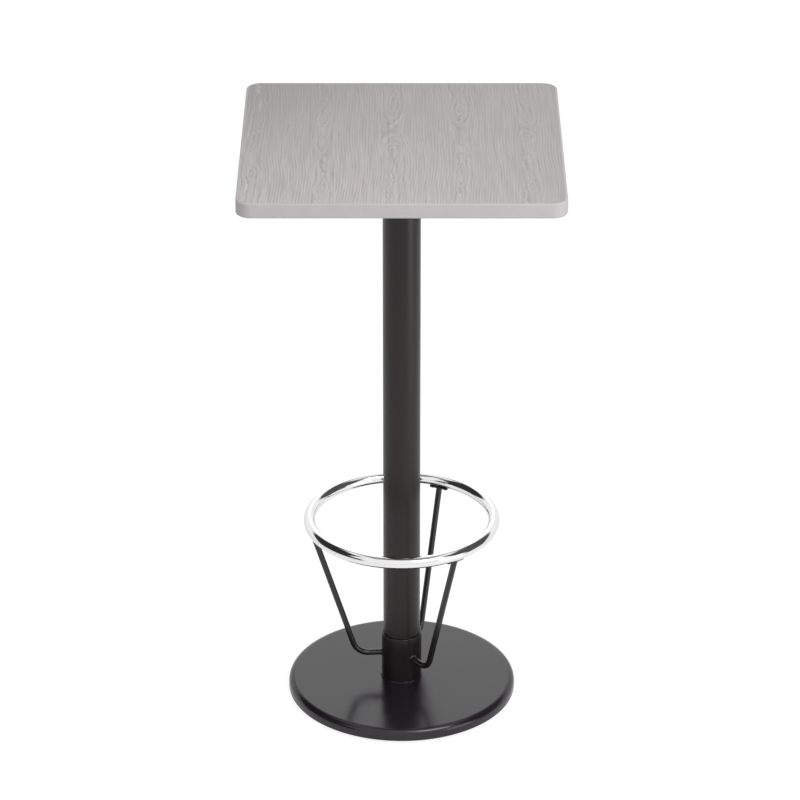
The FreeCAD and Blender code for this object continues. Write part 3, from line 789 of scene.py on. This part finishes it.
strip = outline([
    (strip_inner, strip_low.z, 0.2 * mm), (top_half, strip_low.z, strip_round),
    (top_half, strip_high.z, strip_round), (strip_inner, strip_high.z, 0.25 * mm),
    (strip_inner, tongue_high, 0), (tongue, tongue_high, 0), (tongue, tongue_low, 0),
    (strip_inner, tongue_low, 0)], 8, lambda across, height: (-seam, across, height))
end = strip.edges[:]
straight = 2 * (top_half - strip_corner)
heading = Vector((-1, 0, 0))
turn_at = Vector((strip_corner - top_half, top_half - strip_corner, 0))
quarter = Matrix.Rotation(radians(90), 3, "Z")
for length in (straight / 2 - seam, straight, straight, straight):
    end = pulled(strip, end, heading * length)
    end = swung(strip, end, cent=turn_at, axis=(0, 0, 1), angle=radians(90), steps=20)
    heading = quarter @ heading
    turn_at = quarter @ turn_at
pulled(strip, end, heading * (straight / 2 - seam))
bmesh.ops.holes_fill(strip, edges=strip.edges[:], sides=0)
piece("edge_strip", settled(strip), edge_vinyl(), sharp=40)

# ==== Top spider ==============================================================================
# A four-armed grey-iron casting screwed under the top with eight cross-headed screws. Its hub
# sits on the column, its spigot plugs the column's bore, and a rib stiffens each arm.
hub_low = column_high.z
hub_top = strip_low.z
arm_low, arm_top = hub_top - 6 * mm, hub_top
hub_radius = column_radius + 7 * mm
arm_reach = 190 * mm
arm_end = 15 * mm
arm_tip = arm_reach - arm_end
arm_root = 30 * mm                     # inside the hub's wall
root_half = 21.512 * mm
outer_screw, inner_screw = 172 * mm, 124 * mm
hub_pocket = 16.5 * mm
hub_floor = hub_top - 16.5 * mm
spigot_foot = hub_low - 14 * mm
rib_half = 3.5 * mm
rib_low = arm_low - 16 * mm
rib_high = arm_low + 4 * mm
screw_hole = 2.8 * mm
pan_radius, pan_shank = 4.75 * mm, 2.4 * mm
pan_foot = arm_low - 3 * mm
screw_top = hub_top + 15 * mm
slot_size = (4.6 * mm, 0.9 * mm, 3 * mm)
rib_reach = inner_screw - pan_radius - 15 * mm


def spider_arm():
    """One tapered arm along +X with its rib."""
    bm, rib = bmesh.new(), bmesh.new()
    bm.faces.new([bm.verts.new((along, across, arm_low)) for along, across in (
        (arm_root, -root_half), (arm_tip, -arm_end), (arm_tip, arm_end), (arm_root, root_half))])
    pulled(bm, bm.faces[:], (0, 0, arm_top - arm_low))
    end = lathe([(0, arm_low, 0), (arm_end, arm_low, 0), (arm_end, arm_top, 0), (0, arm_top, 0)],
                48)
    arm = machined(settled(bm), moved(end, 0, (arm_tip, 0, 0)), "UNION")
    rib.faces.new([rib.verts.new((along, -rib_half, height)) for along, height in (
        (arm_root, rib_high), (rib_reach, rib_high), (rib_reach, arm_low),
        (hub_radius, rib_low), (arm_root, rib_low))])
    pulled(rib, rib.faces[:], (0, 2 * rib_half, 0))
    return machined(arm, settled(rib), "UNION")


spider = lathe([(rod_hole, spigot_foot, 0.5 * mm), (spigot, spigot_foot, 2 * mm),
                (spigot, hub_low, 0), (hub_radius, hub_low, 1.5 * mm), (hub_radius, hub_top, 0),
                (hub_pocket, hub_top, 0), (hub_pocket, hub_floor, 0),
                (rod_hole, hub_floor, 0)], 96, 4)
bores, drives = [], []
for angle in (45, 135, 225, 315):
    spider = machined(spider, moved(spider_arm(), radians(angle)), "UNION")
    for radius in (inner_screw, outer_screw):
        seat = polar(radius, radians(angle))
        bores.append(moved(lathe([
            (0, arm_low - 1 * mm, 0), (screw_hole, arm_low - 1 * mm, 0),
            (screw_hole, hub_top + 1 * mm, 0), (0, hub_top + 1 * mm, 0)], 24), 0, seat))
        head = lathe([(0, pan_foot, 0), (pan_radius, pan_foot, 2 * mm),
                      (pan_radius, arm_low, 0), (pan_shank, arm_low, 0),
                      (pan_shank, screw_top, 0.8 * mm), (0, screw_top, 0)], 32, 4)
        for cross in (0, 90):
            slot = moved(block(slot_size, (0, 0, pan_foot)), radians(cross + angle))
            head = machined(head, slot, "DIFFERENCE")
        drives.append(moved(head, 0, seat))
spider = machined(spider, together(bores), "DIFFERENCE")
piece("top_spider", spider, iron_finish)
piece("spider_screws", together(drives), zinc_finish)

# ==== Tie rod =================================================================================
# One long steel rod, threaded at both ends, runs up the column. Its nuts and washers, sunk in
# the base and in the hub, clamp base, column and spider together.
tie_low, tie_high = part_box("tie_rod")
tie_radius = tie_high.x
tie_core = 5 * mm
tie_pitch = 1.75 * mm
thread_length = 34 * mm
lower_end, upper_end = tie_low.z + thread_length, tie_high.z - thread_length
nut_flats, nut_bore = 19 * mm, 6.05 * mm
tie = lathe([(0, tie_low.z, 0), (tie_core, tie_low.z, 0.4 * mm), (tie_core, lower_end, 0),
             (tie_radius, lower_end + 1 * mm, 0), (tie_radius, upper_end - 1 * mm, 0),
             (tie_core, upper_end, 0), (tie_core, tie_high.z, 0.4 * mm), (0, tie_high.z, 0)],
            48, 3)
piece("tie_rod", together([tie, thread(tie_radius, tie_pitch, tie_low.z + 0.1 * mm, lower_end),
                           thread(tie_radius, tie_pitch, upper_end, tie_high.z - 0.1 * mm)]),
      zinc_finish)
for end in ("top", "bottom"):
    low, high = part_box(end + "_washer")
    washer = lathe([(rod_hole, low.z, 0.2 * mm), (high.x, low.z, 0.3 * mm),
                    (high.x, high.z, 0.3 * mm), (rod_hole, high.z, 0.2 * mm)], 64, 2)
    piece(end + "_washer", washer, zinc_finish)
    low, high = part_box(end + "_nut")
    bore = lathe([(0, low.z - 1 * mm, 0), (nut_bore, low.z - 1 * mm, 0),
                  (nut_bore, high.z + 1 * mm, 0), (0, high.z + 1 * mm, 0)], 32)
    nut = machined(hexagon(nut_flats, low.z, high.z, 0.9 * mm), bore, "DIFFERENCE")
    piece(end + "_nut", nut, zinc_finish)

# ==== Floor, light and camera =================================================================
# A white studio: a pale floor, one large soft light high at the front right, and an even sky.
# Reflections see a white surround with darker upper sides, as a studio's walls are.
white = (1, 1, 1, 1)


def studio_floor():
    """Matt white paint. Seen straight on or in a reflection it is as bright as the backdrop, but
    it lights the table only as pale paint does, and from below it is clear."""
    made, tree = blank("white_studio_floor")
    path = add(tree, "LightPath")
    mirrored, through = path.outputs["Is Glossy Ray"], path.outputs["Is Transmission Ray"]
    seen = add(tree, "Math", {0: path.outputs["Is Camera Ray"], 1: mirrored}, operation="MAXIMUM")
    seen = add(tree, "Math", {0: seen, 1: through}, operation="MAXIMUM")
    paint = add(tree, "BsdfDiffuse", {"Color": "#e6e6e6"})
    dim = add(tree, "Emission", {"Color": white, "Strength": 0.42})
    pale = add(tree, "BsdfDiffuse", {"Color": (0.66, 0.66, 0.66, 1)})
    in_mirror = add(tree, "AddShader", {0: dim, 1: pale})
    glow = add(tree, "Emission", {"Color": white, "Strength": 0.87})
    faint = add(tree, "BsdfDiffuse", {"Color": (0.24, 0.24, 0.24, 1)})
    bright = add(tree, "AddShader", {0: glow, 1: faint})
    lit = add(tree, "MixShader", {0: mirrored, 1: bright, 2: in_mirror})
    shown = add(tree, "MixShader", {0: seen, 1: paint, 2: lit})
    back = add(tree, "NewGeometry").outputs["Backfacing"]
    clear = add(tree, "BsdfTransparent")
    add(tree, "OutputMaterial", {"Surface": add(tree, "MixShader", {0: back, 1: shown, 2: clear})})
    return made


floor_plane = bmesh.new()
bmesh.ops.create_grid(floor_plane, x_segments=1, y_segments=1, size=30.0)
floor = placed("floor", mesh_of(floor_plane, "floor"))
floor.data.materials.append(studio_floor())

# What a reflection sees, by its height and its bearing from the back: the white backdrop with
# a brighter strip behind the table, dark walls beside it, the ceiling, and a white reflector.
backdrop_half, backdrop_height = radians(75), radians(46)
arch = 1.4
strip_half, strip_fade = radians(8), radians(12)
low_glow, high_glow = 1.75, 1.1
left_wall, right_wall = "#323132", "#535253"
world = bpy.data.worlds.new("studio")
bpy.context.scene.world = world
world.use_nodes = True
tree = world.node_tree
tree.nodes.clear()
ray = add(tree, "SeparateXYZ", {0: add(tree, "TexCoord").outputs["Generated"]})
rise = add(tree, "Math", {0: ray.outputs["Z"]}, operation="ARCSINE")
bearing = add(tree, "Math", {0: ray.outputs["X"], 1: ray.outputs["Y"]}, operation="ARCTAN2")
aside = add(tree, "Math", {0: bearing}, operation="ABSOLUTE")
across = add(tree, "Math", {0: aside, 1: backdrop_half}, operation="DIVIDE")
across = add(tree, "Math", {0: across, 1: arch}, operation="POWER")
above = add(tree, "Math", {0: rise, 1: backdrop_height}, operation="DIVIDE")
above = add(tree, "Math", {0: above, 1: 0.0}, operation="MAXIMUM")
above = add(tree, "Math", {0: above, 1: arch}, operation="POWER")
rim = add(tree, "Math", {0: across, 1: above}, operation="ADD")
backdrop = add(tree, "MapRange", {"Value": rim, 1: 0.92, 2: 1.08, 3: 1.0, 4: 0.0})
centre = add(tree, "MapRange", {"Value": aside, 1: strip_half, 2: strip_fade, 3: 1.0, 4: 0.0})
wall_top = add(tree, "MapRange", {"Value": aside, 1: radians(32), 2: radians(46),
                                  3: radians(53), 4: radians(60)})
over = add(tree, "Math", {0: rise, 1: wall_top}, operation="SUBTRACT")
ceiling = add(tree, "MapRange", {"Value": over, 1: radians(-2), 2: radians(2)})
foot_end = add(tree, "MapRange", {"Value": bearing, 1: radians(-10), 2: radians(10),
                                  3: radians(136), 4: radians(104)})
wall_end = add(tree, "MapRange", {"Value": rise, 1: radians(18), 2: radians(26), 3: foot_end,
                                  4: radians(116)})
past = add(tree, "Math", {0: aside, 1: wall_end}, operation="SUBTRACT")
reflector = add(tree, "MapRange", {"Value": past, 1: radians(-3), 2: radians(3)})
pale = backdrop
for part in (ceiling, reflector):
    pale = add(tree, "Math", {0: pale, 1: part}, operation="MAXIMUM")
side = add(tree, "MapRange", {"Value": bearing, 1: radians(-10), 2: radians(10)})
wall = add(tree, "Mix", {0: side, 6: left_wall, 7: right_wall}, data_type="RGBA")
walls = add(tree, "Mix", {0: pale, 6: wall, 7: white}, data_type="RGBA")
fall = add(tree, "MapRange", {"Value": rise, 1: radians(24), 2: radians(36),
                              3: low_glow, 4: high_glow})
behind = add(tree, "CombineColor", {0: fall, 1: fall, 2: fall})
mirror = add(tree, "Mix", {0: centre, 6: walls, 7: behind}, data_type="RGBA")
path = add(tree, "LightPath")
glossy = add(tree, "Math", {0: path.outputs["Is Glossy Ray"],
                            1: path.outputs["Is Transmission Ray"]}, operation="MAXIMUM")
plain = add(tree, "Background", {"Color": white, "Strength": 0.62})
studio = add(tree, "Background", {"Color": mirror, "Strength": 1.0})
clear = add(tree, "Background", {"Color": white, "Strength": 1.0})
sky = add(tree, "MixShader", {0: glossy, 1: plain, 2: studio})
sky = add(tree, "MixShader", {0: path.outputs["Is Camera Ray"], 1: sky, 2: clear})
add(tree, "OutputWorld", {"Surface": sky})


def aimed(thing, place, target):
    """Puts a lamp or the camera in its place and turns it towards a point."""
    thing.location = place
    thing.rotation_euler = (Vector(target) - thing.location).to_track_quat("-Z", "Y").to_euler()


for name, width, height, power, place, target in (
        ("softbox", 1.6, 1.2, 38, (1.3, -1.7, 2.9), (0, 0, 0.9)),
        ("panel", 0.9, 0.7, 3.8, (1.55, -1.1, 0.4), (0, 0, 0.6))):
    face = bpy.data.lights.new(name, "AREA")
    face.shape = "RECTANGLE"
    face.size = width
    face.size_y = height
    face.energy = power
    lamp = placed(name, face)
    lamp.visible_camera = False
    aimed(lamp, place, target)

scene = bpy.context.scene
scene.view_settings.view_transform = "Standard"
lens = bpy.data.cameras.new("camera")
lens.sensor_width = 36
lens.lens = 168.3
lens.clip_end = 100
scene.camera = placed("camera", lens)
middle = Vector((0, 0, 0.5597))        # about half way up the table
distance = 7.0
elevation = radians(26.5)
viewpoint = middle + distance * Vector((0, -cos(elevation), sin(elevation)))
aimed(scene.camera, viewpoint, (-0.0032, 0, 0.6147))  # a little above the middle
